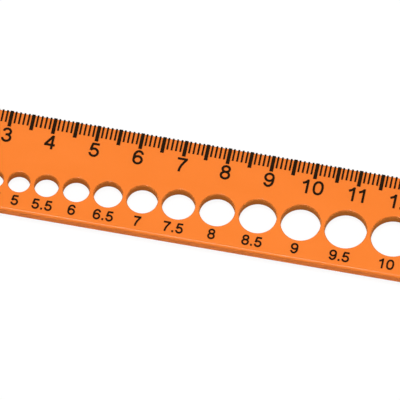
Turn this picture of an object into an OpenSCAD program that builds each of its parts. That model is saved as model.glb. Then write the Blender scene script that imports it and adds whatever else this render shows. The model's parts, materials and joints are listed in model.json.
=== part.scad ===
// Flat hole gauge with a centimetre scale, in millimetres.
//
// The plate lies on its underside with its length along X. The row of holes grows towards +X and
// lines up along the front edge, at -Y. The scale runs along the back edge, at +Y, with its zero
// near the -X end. The origin is at the middle of the underside.
//
// The marks of the scale are bars of a second colour, let into grooves of the plate. They stand a
// little proud of it, and their square ends come out flush with its back edge.

/* [Row of holes] */
// Diameter of the smallest hole
smallest_hole = 2; // [1:0.5:4]
// Step in diameter from one hole to the next
hole_step = 0.5; // [0.25:0.25:1]
// How many holes the row has
hole_count = 17; // [5:1:21]
// Material left between neighbouring holes
hole_gap = 1; // [0.9:0.1:3]
// Material left between the front edge and every hole
front_margin = 5; // [3:0.5:10]
// Material left between the plate's end and the smallest hole
start_margin = 12; // [8:1:20]
// Material left between the largest hole and the plate's other end
end_margin = 10; // [5:1:20]
// Radius that rounds the upper and lower rim of every hole
rim_radius = 0.25; // [0.1:0.05:0.4]

/* [Plate] */
// Thickness of the plate
plate_thickness = 2.5; // [1.6:0.1:5]
// Radius that rounds the plate's upper and lower edges
edge_radius = 0.5; // [0.1:0.05:0.7]
// Radius of the plate's four corners, seen from above
corner_radius = 3; // [1.5:0.5:8]
// Depth of the strip behind the largest hole, which holds the scale and its numbers
scale_strip = 10; // [8:0.5:15]

/* [Scale] */
// Least distance from the plate's ends to the middle of the scale's first and last mark
scale_margin = 5; // [4:1:10]
// Distance from one mark to the next, which is a millimetre on a metric scale
mark_pitch = 1; // [1:0.1:3]
// How many marks there are from one wide mark to the next
wide_every = 5; // [2:1:10]
// Width of the narrow marks
narrow_width = 0.4; // [0.2:0.05:0.5]
// Length of the narrow marks
narrow_length = 3; // [2:0.5:5]
// Width of the wide marks, at every half and whole centimetre
wide_width = 0.8; // [0.4:0.05:1.2]
// Length of the wide marks
wide_length = 4; // [3:0.5:6]
// How deep the marks are let into the plate
mark_depth = 0.4; // [0.2:0.05:0.8]
// How far the marks stand above the plate
mark_rise = 0.1; // [0.05:0.05:0.3]
// Gap between a mark and each side of its groove
mark_clearance = 0.02; // [0:0.01:0.05]

/* [Hidden] */
$fn = 96;

plate_colour = [0.99, 0.53, 0.21];
mark_colour = [0.10, 0.08, 0.07];

// How far a cut runs past the face that it opens
overrun = 1;
// Share of a pitch that keeps rounding errors from dropping the last mark
rounding_guard = 0.001;

largest_hole = smallest_hole + hole_step * (hole_count - 1);
row_length = hole_count * (smallest_hole + largest_hole) / 2 + hole_gap * (hole_count - 1);
plate_length = start_margin + row_length + end_margin;
plate_width = front_margin + largest_hole + scale_strip;
front_edge = -plate_width / 2;
back_edge = plate_width / 2;
start_edge = -plate_length / 2;
last_mark = floor((plate_length - 2 * scale_margin) / mark_pitch + rounding_guard);
last_wide = floor(last_mark / wide_every);

function hole_diameter(i) = smallest_hole + hole_step * i;

// Hole i comes after i smaller ones, whose mean diameter is that of the first and the last of them
function hole_x(i) = start_edge + start_margin
    + i * (smallest_hole + hole_diameter(i - 1)) / 2
    + i * hole_gap
    + hole_diameter(i) / 2;

function hole_y(i) = front_edge + front_margin + hole_diameter(i) / 2;

// Wide mark k of the scale is the mark nearest to k whole steps from the first one
function wide_mark(k) = round(k * wide_every);
function is_wide(i) = i == wide_mark(round(i / wide_every));

function mark_x(i) = start_edge + scale_margin + i * mark_pitch;
function mark_width(i) = is_wide(i) ? wide_width : narrow_width;
function mark_length(i) = is_wide(i) ? wide_length : narrow_length;

// The plate's outer strip in section, from the centre of a corner's radius out to the edge
module strip_section() {
    square([corner_radius - edge_radius, plate_thickness]);
    translate([0, edge_radius])
        square([corner_radius, plate_thickness - 2 * edge_radius]);
    for (z = [edge_radius, plate_thickness - edge_radius])
        translate([corner_radius - edge_radius, z])
            circle(edge_radius);
}

// A straight strip centred on the X axis, with its rounded edge towards +Y
module straight_strip(length) {
    rotate([90, 0, 90])
        linear_extrude(length, center = true)
            strip_section();
}

// The whole plate before its holes and grooves are cut: a flat core, a strip along each side and
// a turned quarter at each corner
module plate_blank() {
    core_length = plate_length - 2 * corner_radius;
    core_width = plate_width - 2 * corner_radius;
    translate([-core_length / 2, -core_width / 2, 0])
        cube([core_length, core_width, plate_thickness]);
    for (turn = [0, 180])
        rotate([0, 0, turn]) {
            translate([0, core_width / 2, 0])
                straight_strip(core_length);
            translate([core_length / 2, 0, 0])
                rotate([0, 0, -90])
                    straight_strip(core_width);
            translate([core_length / 2, core_width / 2, 0])
                rotate_extrude(angle = 90)
                    strip_section();
            translate([-core_length / 2, core_width / 2, 0])
                rotate([0, 0, 90])
                    rotate_extrude(angle = 90)
                        strip_section();
        }
}

// What flares the mouth of a hole into its rounded rim, in section, at the plate's upper face
module rim_section(radius) {
    difference() {
        translate([0, plate_thickness - rim_radius])
            square([radius + rim_radius, rim_radius + overrun]);
        translate([radius + rim_radius, plate_thickness - rim_radius])
            circle(rim_radius);
    }
}

// Everything that a hole takes out of the plate
module hole_cutter(diameter) {
    rotate_extrude() {
        translate([0, -overrun])
            square([diameter / 2, plate_thickness + 2 * overrun]);
        rim_section(diameter / 2);
        translate([0, plate_thickness])
            mirror([0, 1])
                rim_section(diameter / 2);
    }
}

// The groove that mark i lies in, open at the plate's back edge
module groove(i) {
    width = mark_width(i) + 2 * mark_clearance;
    length = mark_length(i) + mark_clearance;
    translate([mark_x(i) - width / 2, back_edge - length, plate_thickness - mark_depth])
        cube([width, length + overrun, mark_depth + overrun]);
}

// One mark of the scale, seated on the floor of its groove
module mark(i) {
    translate([mark_x(i) - mark_width(i) / 2, back_edge - mark_length(i), plate_thickness - mark_depth])
        cube([mark_width(i), mark_length(i), mark_depth + mark_rise]);
}

module gauge_plate() {
    color(plate_colour)
        difference() {
            plate_blank();
            for (i = [0 : hole_count - 1])
                translate([hole_x(i), hole_y(i), 0])
                    hole_cutter(hole_diameter(i));
            for (i = [0 : last_mark])
                groove(i);
        }
}

// The narrow marks, at each millimetre between the wide ones
module millimetre_marks() {
    color(mark_colour)
        for (i = [0 : last_mark])
            if (!is_wide(i))
                mark(i);
}

// Every second wide mark, halfway between the centimetres
module half_centimetre_marks() {
    color(mark_colour)
        for (k = [1 : 2 : last_wide])
            mark(wide_mark(k));
}

// The other wide marks, at the whole centimetres, which carry the numbers
module centimetre_marks() {
    color(mark_colour)
        for (k = [0 : 2 : last_wide])
            mark(wide_mark(k));
}

gauge_plate();
millimetre_marks();
half_centimetre_marks();
centimetre_marks();
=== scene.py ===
"""Looks of the flat hole gauge: satin orange plastic, black marks and numbers, soft studio light.

The plate and the marks are the CAD nodes. This script gives them their finish, adds the numbers as
thin raised strokes, and sets the floor, the light and the camera. Lengths are in metres, and the
parts' places come from the frame: +X along the scale, +Y towards its edge, +Z up.
"""

import json
import math

import bmesh
import bpy
from mathutils import Matrix, Vector
from mathutils.geometry import delaunay_2d_cdt


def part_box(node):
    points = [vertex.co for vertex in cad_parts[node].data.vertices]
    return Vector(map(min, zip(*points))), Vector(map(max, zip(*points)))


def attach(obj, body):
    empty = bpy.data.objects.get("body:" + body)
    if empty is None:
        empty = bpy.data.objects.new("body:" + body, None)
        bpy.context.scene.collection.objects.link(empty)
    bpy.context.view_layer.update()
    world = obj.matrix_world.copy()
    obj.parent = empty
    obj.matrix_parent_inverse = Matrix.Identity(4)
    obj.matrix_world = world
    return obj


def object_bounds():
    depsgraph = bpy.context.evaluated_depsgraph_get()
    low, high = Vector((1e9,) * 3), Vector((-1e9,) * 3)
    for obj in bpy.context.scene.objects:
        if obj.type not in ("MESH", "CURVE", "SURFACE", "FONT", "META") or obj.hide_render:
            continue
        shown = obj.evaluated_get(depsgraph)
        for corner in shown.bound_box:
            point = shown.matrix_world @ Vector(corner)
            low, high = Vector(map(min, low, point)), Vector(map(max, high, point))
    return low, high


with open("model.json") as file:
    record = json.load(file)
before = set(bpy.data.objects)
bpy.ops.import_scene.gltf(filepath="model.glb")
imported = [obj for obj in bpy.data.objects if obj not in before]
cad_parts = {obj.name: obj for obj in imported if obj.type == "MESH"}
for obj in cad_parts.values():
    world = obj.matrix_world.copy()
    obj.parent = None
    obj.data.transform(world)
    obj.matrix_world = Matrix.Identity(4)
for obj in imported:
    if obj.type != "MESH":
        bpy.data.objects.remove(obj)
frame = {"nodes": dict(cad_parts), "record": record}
cad_low, cad_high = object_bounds()

MM = 0.001
MARK_NODES = ("millimetre_marks", "half_centimetre_marks", "centimetre_marks")
plate_low, plate_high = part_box("gauge_plate")

# ---------------------------------------------------------------------------------------------
# Numbers: each digit is drawn with strokes of one width. Its shape is given as centre lines in a
# box 1 high that stands on the X axis with its left side at x = 0. The flag of the 1, the sides of
# the 0 and the top and foot of round digits stand a little out of it.
# ---------------------------------------------------------------------------------------------

STROKE = 0.15              # width of the strokes that the centre lines are drawn for
HALF = STROKE / 2
HOLE_STROKE = 0.162        # width of the smaller numbers' strokes, which are a little heavier
OVERSHOOT = 0.01           # how far a 0 passes the top and the foot of straight digits
ARC_STEP = 7.5             # the longest step along an arc, in degrees

CENTIMETRE = 10 * MM
SCALE_DIGIT = 3.5 * MM         # height of the scale's numbers
SCALE_DIGIT_FOOT = 7.95 * MM   # from the plate's back edge to their foot
HOLE_DIGIT = 2.5 * MM          # height of the holes' numbers
HOLE_DIGIT_FOOT = 1.55 * MM    # from the plate's front edge to their foot
HOLE_DIGIT_LEAN = 0.0012       # their shift to -X, as a share of their distance from the -X end
STROKE_SINK = 0.05 * MM        # how far strokes go down into the plate

# Joining the strokes of a digit: corners closer than CORNER_MERGE become one, edges shorter than
# EDGE_MERGE go, and so do edges and corners where the outline turns by less than FLATNESS
CORNER_MERGE = 0.004
EDGE_MERGE = CORNER_MERGE / 4
FLATNESS = math.radians(1.0)
INSIDE_ONLY = 1                # the kind of triangulation that leaves out what lies around a shape
SHARP_EDGE = math.radians(40)  # edges that turn by more than this are shaded sharp

# The width of a digit's box, and the free space to its left and right
USUAL_WIDTH = 0.652
WIDTHS = {"0": 0.644, "1": 0.375, "4": 0.69, ".": 0.15}
USUAL_AIR = (0.06, 0.06)
AIR = {"1": (0.035, 0.25), ".": (0.12, 0.12)}

# How far a digit is moved to +X, where its middle isn't what the eye takes for it
NUDGE = {"4": -0.046, "6": 0.003, "7": -0.006, "8": 0.01}

# The power that squares the curve of the 0
ZERO_POWER = 0.86


def arc(centre_x, centre_y, radius_x, radius_y, start, end):
    """Points along part of an ellipse, from one angle in degrees to another."""
    count = math.ceil(abs(end - start) / ARC_STEP)
    angles = [math.radians(start + (end - start) * i / count) for i in range(count + 1)]
    return [(centre_x + radius_x * math.cos(a), centre_y + radius_y * math.sin(a)) for a in angles]


def ring(centre_x, centre_y, radius_x, radius_y, power=1.0):
    """A closed round stroke: its last point is its first. A power below 1 squares it."""
    points = []
    for x, y in arc(0.0, 0.0, 1.0, 1.0, 0, 360)[:-1]:
        full_x = math.copysign(abs(x) ** power, x)
        full_y = math.copysign(abs(y) ** power, y)
        points.append((centre_x + radius_x * full_x, centre_y + radius_y * full_y))
    return points + points[:1]


DIGITS = {
    "0": [ring(0.322, 0.5, 0.349 - HALF, 0.5 + OVERSHOOT - HALF, ZERO_POWER)],
    "1": [
        [(0.30, 0.0), (0.30, 1.0)],
        [(0.32, 0.94), (0.165, 0.795), (-0.025, 0.705)],
    ],
    "2": [
        arc(0.32, 0.74, 0.255, 0.21, 170, -35) + [(0.42, 0.50), (0.10, 0.15), (0.05, HALF)],
        [(0.0, HALF), (0.64, HALF)],
    ],
    "3": [
        arc(0.30, 0.735, 0.225, 0.2125, 175, -90) + [(0.22, 0.5225)],
        [(0.22, 0.5225)] + arc(0.305, 0.2875, 0.258, 0.235, 90, -175),
    ],
    "4": [
        [(0.0, HALF + 0.235), (0.69, HALF + 0.235)],
        [(0.05, HALF + 0.225), (0.48, 0.95)],
        [(0.50, 0.0), (0.50, 1.0)],
    ],
    "5": [
        [(0.12, 1 - HALF), (0.60, 1 - HALF)],
        [(0.17, 1 - HALF), (0.09, 0.45)],
        arc(0.315, 0.3175, 0.262, 0.265, 150, -170),
    ],
    "6": [
        ring(0.325, 0.3125, 0.262, 0.26),
        arc(0.345, 0.56, 0.282, 0.3875, 28, 180) + [(0.063, 0.3125)],
    ],
    "7": [
        [(0.0, 1 - HALF), (0.645, 1 - HALF)],
        [(0.60, 0.93), (0.445, 0.695), (0.315, 0.457), (0.245, 0.25), (0.215, 0.0)],
    ],
    "8": [ring(0.32, 0.74, 0.229, 0.2075), ring(0.32, 0.2925, 0.262, 0.24)],
    "9": [
        ring(0.315, 0.6875, 0.262, 0.26),
        arc(0.300, 0.44, 0.277, 0.3875, 208, 360) + [(0.577, 0.6875)],
    ],
    ".": [[(HALF, 0.0), (HALF, 0.18)]],
}


def side_points(path, half_width):
    """The two sides of a stroke along a path, mitred at its corners, and whether it is closed."""
    closed = path[0] == path[-1]
    points = [Vector(p) for p in (path[:-1] if closed else path)]
    count = len(points)
    left, right = [], []
    for i, point in enumerate(points):
        before = points[i - 1] if closed or i > 0 else None
        after = points[(i + 1) % count] if closed or i < count - 1 else None
        into = (point - before).normalized() if before is not None else (after - point).normalized()
        out = (after - point).normalized() if after is not None else into
        along = (into + out).normalized()
        across = Vector((-along.y, along.x)) * (half_width / along.dot(into))
        left.append(point + across)
        right.append(point - across)
    return left, right, closed


def digit_mesh(character, stroke):
    """A digit as one closed solid, from z = 0 up to z = 1. Its strokes are joined in the plane."""
    points, quads = [], []
    for path in DIGITS[character]:
        left, right, closed = side_points(path, stroke / 2)
        first, count = len(points), len(left)
        points += [point for pair in zip(left, right) for point in pair]
        for i in range(count if closed else count - 1):
            a, b = first + 2 * i, first + 2 * ((i + 1) % count)
            quads.append((a, a + 1, b + 1, b))
    joined = delaunay_2d_cdt(points, [], quads, INSIDE_ONLY, 0.0)
    joined_points, _, triangles, _, _, strokes_over = joined
    solid = bmesh.new()
    corners = [solid.verts.new((point.x, point.y, 0.0)) for point in joined_points]
    for triangle, strokes in zip(triangles, strokes_over):
        # No stroke lies over the open middle of a 0, 4, 6, 8 or 9
        if strokes:
            solid.faces.new([corners[i] for i in triangle])
    bmesh.ops.remove_doubles(solid, verts=solid.verts, dist=CORNER_MERGE)
    bmesh.ops.dissolve_degenerate(solid, edges=solid.edges, dist=EDGE_MERGE)
    solid.normal_update()
    bmesh.ops.dissolve_limit(solid, angle_limit=FLATNESS, verts=solid.verts, edges=solid.edges)
    # Even triangles, because splits made later leave slivers where corners lie in line
    bmesh.ops.triangulate(solid, faces=solid.faces, quad_method="BEAUTY", ngon_method="BEAUTY")
    # The flat shape becomes the foot, and its walls and top are added in a set order, because
    # Blender's own extrusion makes them in a different order in each run
    feet = solid.faces[:]
    rims = [edge.link_loops[0] for edge in solid.edges if edge.is_boundary]
    walls = [(loop.vert, loop.link_loop_next.vert) for loop in rims]
    above = {vert: solid.verts.new((vert.co.x, vert.co.y, 1.0)) for vert in solid.verts[:]}
    for start, end in walls:
        solid.faces.new((start, end, above[end], above[start]))
    for foot in feet:
        solid.faces.new([above[vert] for vert in foot.verts])
        foot.normal_flip()
    made = bpy.data.meshes.new("digit")
    solid.to_mesh(made)
    solid.free()
    return made


def number_layout(text):
    """The place of each digit along a number, whose boxes are centred together."""
    places = []
    x = 0.0
    for i, character in enumerate(text):
        left, right = AIR.get(character, USUAL_AIR)
        if i > 0:
            x += left
        places.append((character, x + NUDGE.get(character, 0.0)))
        x += WIDTHS.get(character, USUAL_WIDTH)
        width = x
        x += right
    return [(character, place - width / 2) for character, place in places]


def numbers(name, labels, height, stroke):
    """One piece that holds several numbers. Each label is (text, x of its middle, y of its foot)."""
    digit_meshes = {character: digit_mesh(character, stroke) for character in DIGITS}
    foot = plate_high.z - STROKE_SINK
    rise = cad_high.z - foot
    whole = bmesh.new()
    for text, centre, baseline in labels:
        for character, place in number_layout(text):
            first = len(whole.verts)
            whole.from_mesh(digit_meshes[character])
            whole.verts.ensure_lookup_table()
            fitted = Matrix.Translation((centre + place * height, baseline, foot))
            fitted @= Matrix.Diagonal((height, height, rise, 1.0))
            bmesh.ops.transform(whole, matrix=fitted, verts=whole.verts[first:])
    mesh = bpy.data.meshes.new(name)
    whole.to_mesh(mesh)
    whole.free()
    for face in mesh.polygons:
        face.use_smooth = True
    mesh.set_sharp_from_angle(angle=SHARP_EDGE)
    piece = bpy.data.objects.new(name, mesh)
    bpy.context.scene.collection.objects.link(piece)
    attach(piece, "root")
    return piece


def scale_labels():
    """The centimetres, each in front of its mark."""
    first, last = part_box("centimetre_marks")
    count = round((last.x - first.x) / CENTIMETRE)
    zero = (first.x + last.x) / 2 - count * CENTIMETRE / 2
    baseline = plate_high.y - SCALE_DIGIT_FOOT
    return [(str(i), zero + i * CENTIMETRE, baseline) for i in range(count + 1)]


def hole_labels():
    """Each hole's diameter in millimetres, in front of it. The holes are the record's bores."""
    baseline = plate_low.y + HOLE_DIGIT_FOOT
    holes = [m for m in frame["record"]["mounts"] if m["kind"] == "bore"]
    labels = []
    for hole in holes:
        x = hole["pos_m"][0]
        lean = HOLE_DIGIT_LEAN * (x - plate_low.x)
        labels.append(("%g" % (2 * hole["dims"]["r_mm"]), x - lean, baseline))
    return labels


# ---------------------------------------------------------------------------------------------
# Materials
# ---------------------------------------------------------------------------------------------

# The plate's colour by depth, from its upper face (0) down to WALL_DEPTH below it (1), with painted
# shade: its rounded edges are painted darker than the face, and the walls of the holes get a painted
# yellower tint of the light inside them
FACE_COLOUR = (0.984, 0.238, 0.036)
# Painted shade: the rounded edges darker than the face
PAINTED_EDGE_SHADE = (0.787, 0.203, 0.032)
# Painted tint of the light in the holes: their walls yellower than the face
PAINTED_WALL_TINT = (0.984, 0.350, 0.066)
DEPTH_COLOURS_WITH_PAINTED_SHADE = ((0.0, FACE_COLOUR), (0.05, PAINTED_EDGE_SHADE), (0.55, PAINTED_EDGE_SHADE), (1.0, PAINTED_WALL_TINT))
WALL_DEPTH = 0.25 * MM

# The plate's front side and front edge get no painted shade and keep the face's colour, as in the
# photograph. Between these distances from the front side, ahead of the holes, the painted shade and
# the walls' duller roughness set in with depth. The plate's back and its ends get them like the
# holes.
DEPTH_STARTS = 2.0 * MM
DEPTH_IN_FULL = 4.0 * MM

# The plate's flow is a faint cloud, drawn out along X, that darkens its colour
FLOW = {"scale": 45.0, "detail": 3.0, "roughness": 0.55, "stretch": (1.0, 2.5, 1.0)}
FLOW_DARKEST = (0.969, 0.943, 0.857)
FLOW_LIGHTEST = (1.0, 1.0, 1.0)

PLATE_GLOSS = {"scale": 260.0, "detail": 4.0}
PLATE_ROUGHNESS = (0.11, 0.15)
WALL_ROUGHNESS = 0.6
PLATE_SPECULAR = 0.03
PLATE_GRAIN = {"scale": 5200.0}
PLATE_GRAIN_DEPTH = 0.0008 * MM

MARK_CLOUD = {"scale": 900.0, "detail": 3.0}
MARK_DARKEST = (0.0135, 0.0058, 0.0009)
MARK_LIGHTEST = (0.0165, 0.0074, 0.0015)
MARK_GLOSS = {"scale": 2400.0}
MARK_ROUGHNESS = (0.42, 0.55)
MARK_SPECULAR = 0.02
MARK_GRAIN = {"scale": 7000.0}
MARK_GRAIN_DEPTH = 0.001 * MM

# Nearly all of a noise lies between these
NOISE_LOW, NOISE_HIGH = 0.3, 0.7


def new_material(name):
    """An empty principled material: (material, nodes, links, shader)."""
    material = bpy.data.materials.new(name)
    material.use_nodes = True
    tree = material.node_tree
    tree.nodes.clear()
    shader = tree.nodes.new("ShaderNodeBsdfPrincipled")
    output = tree.nodes.new("ShaderNodeOutputMaterial")
    tree.links.new(shader.outputs["BSDF"], output.inputs["Surface"])
    return material, tree.nodes, tree.links, shader


def noise(nodes, links, scale, detail=2.0, roughness=0.5, stretch=(1.0, 1.0, 1.0)):
    """A noise on the object's own coordinates. scale is in cells per metre."""
    coordinates = nodes.new("ShaderNodeTexCoord")
    mapping = nodes.new("ShaderNodeMapping")
    mapping.inputs["Scale"].default_value = stretch
    texture = nodes.new("ShaderNodeTexNoise")
    texture.inputs["Scale"].default_value = scale
    texture.inputs["Detail"].default_value = detail
    texture.inputs["Roughness"].default_value = roughness
    links.new(coordinates.outputs["Object"], mapping.inputs["Vector"])
    links.new(mapping.outputs["Vector"], texture.inputs["Vector"])
    return texture.outputs["Fac"]


def remapped(nodes, links, value, before, after):
    """A value whose range before becomes the range after. What lies outside is held at its ends."""
    remap = nodes.new("ShaderNodeMapRange")
    remap.inputs["From Min"].default_value = before[0]
    remap.inputs["From Max"].default_value = before[1]
    remap.inputs["To Min"].default_value = after[0]
    remap.inputs["To Max"].default_value = after[1]
    links.new(value, remap.inputs["Value"])
    return remap.outputs["Result"]


def spread_noise(nodes, links, settings, low, high):
    """A noise whose middle range is stretched to run from low to high."""
    value = noise(nodes, links, **settings)
    return remapped(nodes, links, value, (NOISE_LOW, NOISE_HIGH), (low, high))


def blended_colours(nodes, links, share, first, second):
    """From the first colour, where the share is 0, to the second, where it is 1."""
    mix = nodes.new("ShaderNodeMix")
    mix.data_type = "RGBA"
    mix.inputs["A"].default_value = (*first, 1.0)
    mix.inputs["B"].default_value = (*second, 1.0)
    links.new(share, mix.inputs["Factor"])
    return mix.outputs["Result"]


def multiplied_colours(nodes, links, first, second):
    """One colour times the other, channel by channel."""
    mix = nodes.new("ShaderNodeMix")
    mix.data_type = "RGBA"
    mix.blend_type = "MULTIPLY"
    mix.inputs["Factor"].default_value = 1.0
    links.new(first, mix.inputs["A"])
    links.new(second, mix.inputs["B"])
    return mix.outputs["Result"]


def ramp(nodes, links, value, steps):
    """Colours by value. Each step is (value, colour), the first at 0 and the last at 1."""
    node = nodes.new("ShaderNodeValToRGB")
    elements = node.color_ramp.elements
    for position, _ in steps[1:-1]:
        elements.new(position)
    for element, (_, colour) in zip(elements, steps):
        element.color = (*colour, 1.0)
    links.new(value, node.inputs["Fac"])
    return node.outputs["Color"]


def grain(nodes, links, settings, depth, shader):
    """A fine bump of that depth in metres."""
    bump = nodes.new("ShaderNodeBump")
    bump.inputs["Strength"].default_value = 1.0
    bump.inputs["Distance"].default_value = depth
    links.new(noise(nodes, links, **settings), bump.inputs["Height"])
    links.new(bump.outputs["Normal"], shader.inputs["Normal"])


def plate_depth(nodes, links):
    """0 on the plate's upper face and along its front, up to 1 on the walls of the holes: the share
    of painted shade and of duller roughness.
    """
    coordinates = nodes.new("ShaderNodeTexCoord")
    place = nodes.new("ShaderNodeSeparateXYZ")
    links.new(coordinates.outputs["Object"], place.inputs["Vector"])
    top, front = plate_high.z, plate_low.y
    down = (top, top - WALL_DEPTH)
    back = (front + DEPTH_STARTS, front + DEPTH_IN_FULL)
    both = nodes.new("ShaderNodeMath")
    both.operation = "MULTIPLY"
    links.new(remapped(nodes, links, place.outputs["Z"], down, (0.0, 1.0)), both.inputs[0])
    links.new(remapped(nodes, links, place.outputs["Y"], back, (0.0, 1.0)), both.inputs[1])
    return both.outputs["Value"]


def plate_material():
    """Satin orange plastic: its colour changes with depth by painted shade, and faintly flows, over
    a fine grain.
    """
    material, nodes, links, shader = new_material("orange_plastic")
    depth = plate_depth(nodes, links)
    flow = spread_noise(nodes, links, FLOW, 0.0, 1.0)
    cloud = blended_colours(nodes, links, flow, FLOW_DARKEST, FLOW_LIGHTEST)
    # Painted shade by depth: the rounded edges darker and the walls of the holes yellower
    colour = multiplied_colours(nodes, links, ramp(nodes, links, depth, DEPTH_COLOURS_WITH_PAINTED_SHADE), cloud)
    links.new(colour, shader.inputs["Base Color"])
    duller = nodes.new("ShaderNodeMix")
    duller.inputs["B"].default_value = WALL_ROUGHNESS
    links.new(depth, duller.inputs["Factor"])
    links.new(spread_noise(nodes, links, PLATE_GLOSS, *PLATE_ROUGHNESS), duller.inputs["A"])
    links.new(duller.outputs["Result"], shader.inputs["Roughness"])
    shader.inputs["Specular IOR Level"].default_value = PLATE_SPECULAR
    grain(nodes, links, PLATE_GRAIN, PLATE_GRAIN_DEPTH, shader)
    return material


def mark_material():
    """Black plastic with a duller, slightly uneven face."""
    material, nodes, links, shader = new_material("black_plastic")
    cloud = spread_noise(nodes, links, MARK_CLOUD, 0.0, 1.0)
    colour = blended_colours(nodes, links, cloud, MARK_DARKEST, MARK_LIGHTEST)
    links.new(colour, shader.inputs["Base Color"])
    gloss = spread_noise(nodes, links, MARK_GLOSS, *MARK_ROUGHNESS)
    links.new(gloss, shader.inputs["Roughness"])
    shader.inputs["Specular IOR Level"].default_value = MARK_SPECULAR
    grain(nodes, links, MARK_GRAIN, MARK_GRAIN_DEPTH, shader)
    return material


def dress(piece, material):
    """Gives a piece one material all over."""
    piece.data.materials.clear()
    piece.data.materials.append(material)


# ---------------------------------------------------------------------------------------------
# Stage: floor, light and camera
# ---------------------------------------------------------------------------------------------

FLOOR_SIZE = 6.0
FLOOR_GAP = 0.02 * MM        # keeps the floor clear of the plate's underside

# The floor shows as white. A little of its tone is real shading, so that it keeps the shadow. What
# it throws back onto the plate is a grey floor's light.
FLOOR_GLOW = 0.925
FLOOR_TONE = 0.09
FLOOR_BOUNCE = 0.15

# The sky is even, with a bright band low down that lights the plate's sides as a white table would
SKY_LEVEL = 0.48
HORIZON_LEVEL = 8.6
HORIZON_HEIGHT = math.sin(math.radians(6.0))

# The key comes from behind, nearly where the flat face mirrors it to the camera, so that the
# rounded front edge catches a thin line of light
KEY_LEVEL = 1.68
KEY_ANGLE = math.radians(2.0)
KEY_AZIMUTH = math.radians(198.0)
KEY_ELEVATION = math.radians(72.0)

# Camera: the photograph's direction and what its square frame takes in
CAMERA_AZIMUTH = math.radians(11.07)
CAMERA_ELEVATION = math.radians(61.75)
CAMERA_LENS = 1700.0         # in millimetres, as the sensor's width is
CAMERA_SENSOR = 36.0
CLIP_START = 0.01
CLIP_END = 20.0
VIEW_WIDTH = 89.74 * MM
VIEW_CENTRE = Vector((10.745 * MM, -1.71 * MM, 2.5 * MM))


def shown_to_viewer(nodes, links):
    """1 for rays that show the background: from the camera, a gloss or through glass."""
    path = nodes.new("ShaderNodeLightPath")
    gloss = nodes.new("ShaderNodeMath")
    gloss.operation = "MAXIMUM"
    links.new(path.outputs["Is Camera Ray"], gloss.inputs[0])
    links.new(path.outputs["Is Glossy Ray"], gloss.inputs[1])
    glass = nodes.new("ShaderNodeMath")
    glass.operation = "MAXIMUM"
    links.new(gloss.outputs["Value"], glass.inputs[0])
    links.new(path.outputs["Is Transmission Ray"], glass.inputs[1])
    return glass.outputs["Value"]


def grey(level):
    """A colour without a hue, for a socket: 1 is white."""
    return (level, level, level, 1.0)


def floor_material():
    """White as it shows, and grey in the light that it throws back."""
    material = bpy.data.materials.new("pale_floor")
    material.use_nodes = True
    nodes, links = material.node_tree.nodes, material.node_tree.links
    nodes.clear()
    seen_tone = nodes.new("ShaderNodeBsdfDiffuse")
    seen_tone.inputs["Color"].default_value = grey(FLOOR_TONE)
    glow = nodes.new("ShaderNodeEmission")
    glow.inputs["Strength"].default_value = FLOOR_GLOW
    seen = nodes.new("ShaderNodeAddShader")
    links.new(seen_tone.outputs["BSDF"], seen.inputs[0])
    links.new(glow.outputs["Emission"], seen.inputs[1])
    bounce = nodes.new("ShaderNodeBsdfDiffuse")
    bounce.inputs["Color"].default_value = grey(FLOOR_BOUNCE)
    output = nodes.new("ShaderNodeOutputMaterial")
    shown = nodes.new("ShaderNodeMixShader")
    links.new(shown_to_viewer(nodes, links), shown.inputs["Fac"])
    links.new(bounce.outputs["BSDF"], shown.inputs[1])
    links.new(seen.outputs["Shader"], shown.inputs[2])
    links.new(shown.outputs["Shader"], output.inputs["Surface"])
    return material


def make_floor():
    """A square plane just under the plate."""
    mesh = bpy.data.meshes.new("floor")
    half = FLOOR_SIZE / 2
    z = cad_low.z - FLOOR_GAP
    corners = [(-half, -half, z), (half, -half, z), (half, half, z), (-half, half, z)]
    mesh.from_pydata(corners, [], [(0, 1, 2, 3)])
    floor = bpy.data.objects.new("floor", mesh)
    bpy.context.scene.collection.objects.link(floor)
    dress(floor, floor_material())


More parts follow.
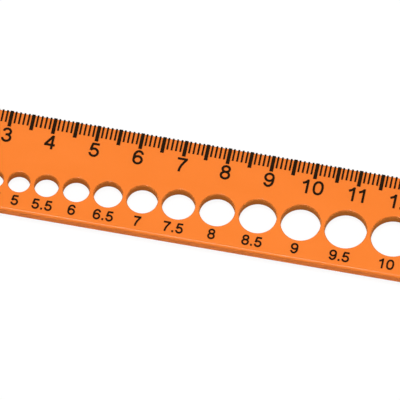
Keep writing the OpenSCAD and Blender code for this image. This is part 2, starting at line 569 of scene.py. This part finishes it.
def make_world():
    """The sky's light, which shows as plain white."""
    world = bpy.data.worlds.new("studio")
    world.use_nodes = True
    nodes, links = world.node_tree.nodes, world.node_tree.links
    nodes.clear()
    coordinates = nodes.new("ShaderNodeTexCoord")
    place = nodes.new("ShaderNodeSeparateXYZ")
    links.new(coordinates.outputs["Generated"], place.inputs["Vector"])
    level = nodes.new("ShaderNodeMapRange")
    level.inputs["From Max"].default_value = HORIZON_HEIGHT
    level.inputs["To Min"].default_value = HORIZON_LEVEL
    level.inputs["To Max"].default_value = SKY_LEVEL
    links.new(place.outputs["Z"], level.inputs["Value"])
    light = nodes.new("ShaderNodeBackground")
    light.inputs["Color"].default_value = grey(1.0)
    links.new(level.outputs["Result"], light.inputs["Strength"])
    seen = nodes.new("ShaderNodeBackground")
    seen.inputs["Color"].default_value = grey(1.0)
    shown = nodes.new("ShaderNodeMixShader")
    output = nodes.new("ShaderNodeOutputWorld")
    links.new(shown_to_viewer(nodes, links), shown.inputs["Fac"])
    links.new(light.outputs["Background"], shown.inputs[1])
    links.new(seen.outputs["Background"], shown.inputs[2])
    links.new(shown.outputs["Shader"], output.inputs["Surface"])
    bpy.context.scene.world = world


def direction(azimuth, elevation):
    """The unit vector towards a point of the sky. Azimuth 0 is -Y, and it turns towards +X."""
    flat = math.cos(elevation)
    return Vector((math.sin(azimuth) * flat, -math.cos(azimuth) * flat, math.sin(elevation)))


def make_key():
    """A far, soft key light. Even light from one direction keeps the long face evenly bright."""
    lamp = bpy.data.lights.new("key", "SUN")
    lamp.energy = KEY_LEVEL
    lamp.angle = KEY_ANGLE
    holder = bpy.data.objects.new("key", lamp)
    away = -direction(KEY_AZIMUTH, KEY_ELEVATION)
    holder.rotation_euler = away.to_track_quat("-Z", "Y").to_euler()
    bpy.context.scene.collection.objects.link(holder)


def make_camera():
    """A long lens from far away, as the photograph shows no perspective."""
    data = bpy.data.cameras.new("camera")
    data.lens = CAMERA_LENS
    data.sensor_width = CAMERA_SENSOR
    data.clip_start = CLIP_START
    data.clip_end = CLIP_END
    camera = bpy.data.objects.new("camera", data)
    back = direction(CAMERA_AZIMUTH, CAMERA_ELEVATION)
    distance = VIEW_WIDTH * CAMERA_LENS / CAMERA_SENSOR
    camera.location = VIEW_CENTRE + back * distance
    camera.rotation_euler = (-back).to_track_quat("-Z", "Y").to_euler()
    bpy.context.scene.collection.objects.link(camera)
    bpy.context.scene.camera = camera


# ---------------------------------------------------------------------------------------------
# The scene
# ---------------------------------------------------------------------------------------------

orange = plate_material()
black = mark_material()
dress(frame["nodes"]["gauge_plate"], orange)
for node in MARK_NODES:
    dress(frame["nodes"][node], black)
dress(numbers("centimetre_numbers", scale_labels(), SCALE_DIGIT, STROKE), black)
dress(numbers("hole_size_numbers", hole_labels(), HOLE_DIGIT, HOLE_STROKE), black)

make_floor()
make_world()
make_key()
make_camera()
bpy.context.scene.view_settings.view_transform = "Standard"
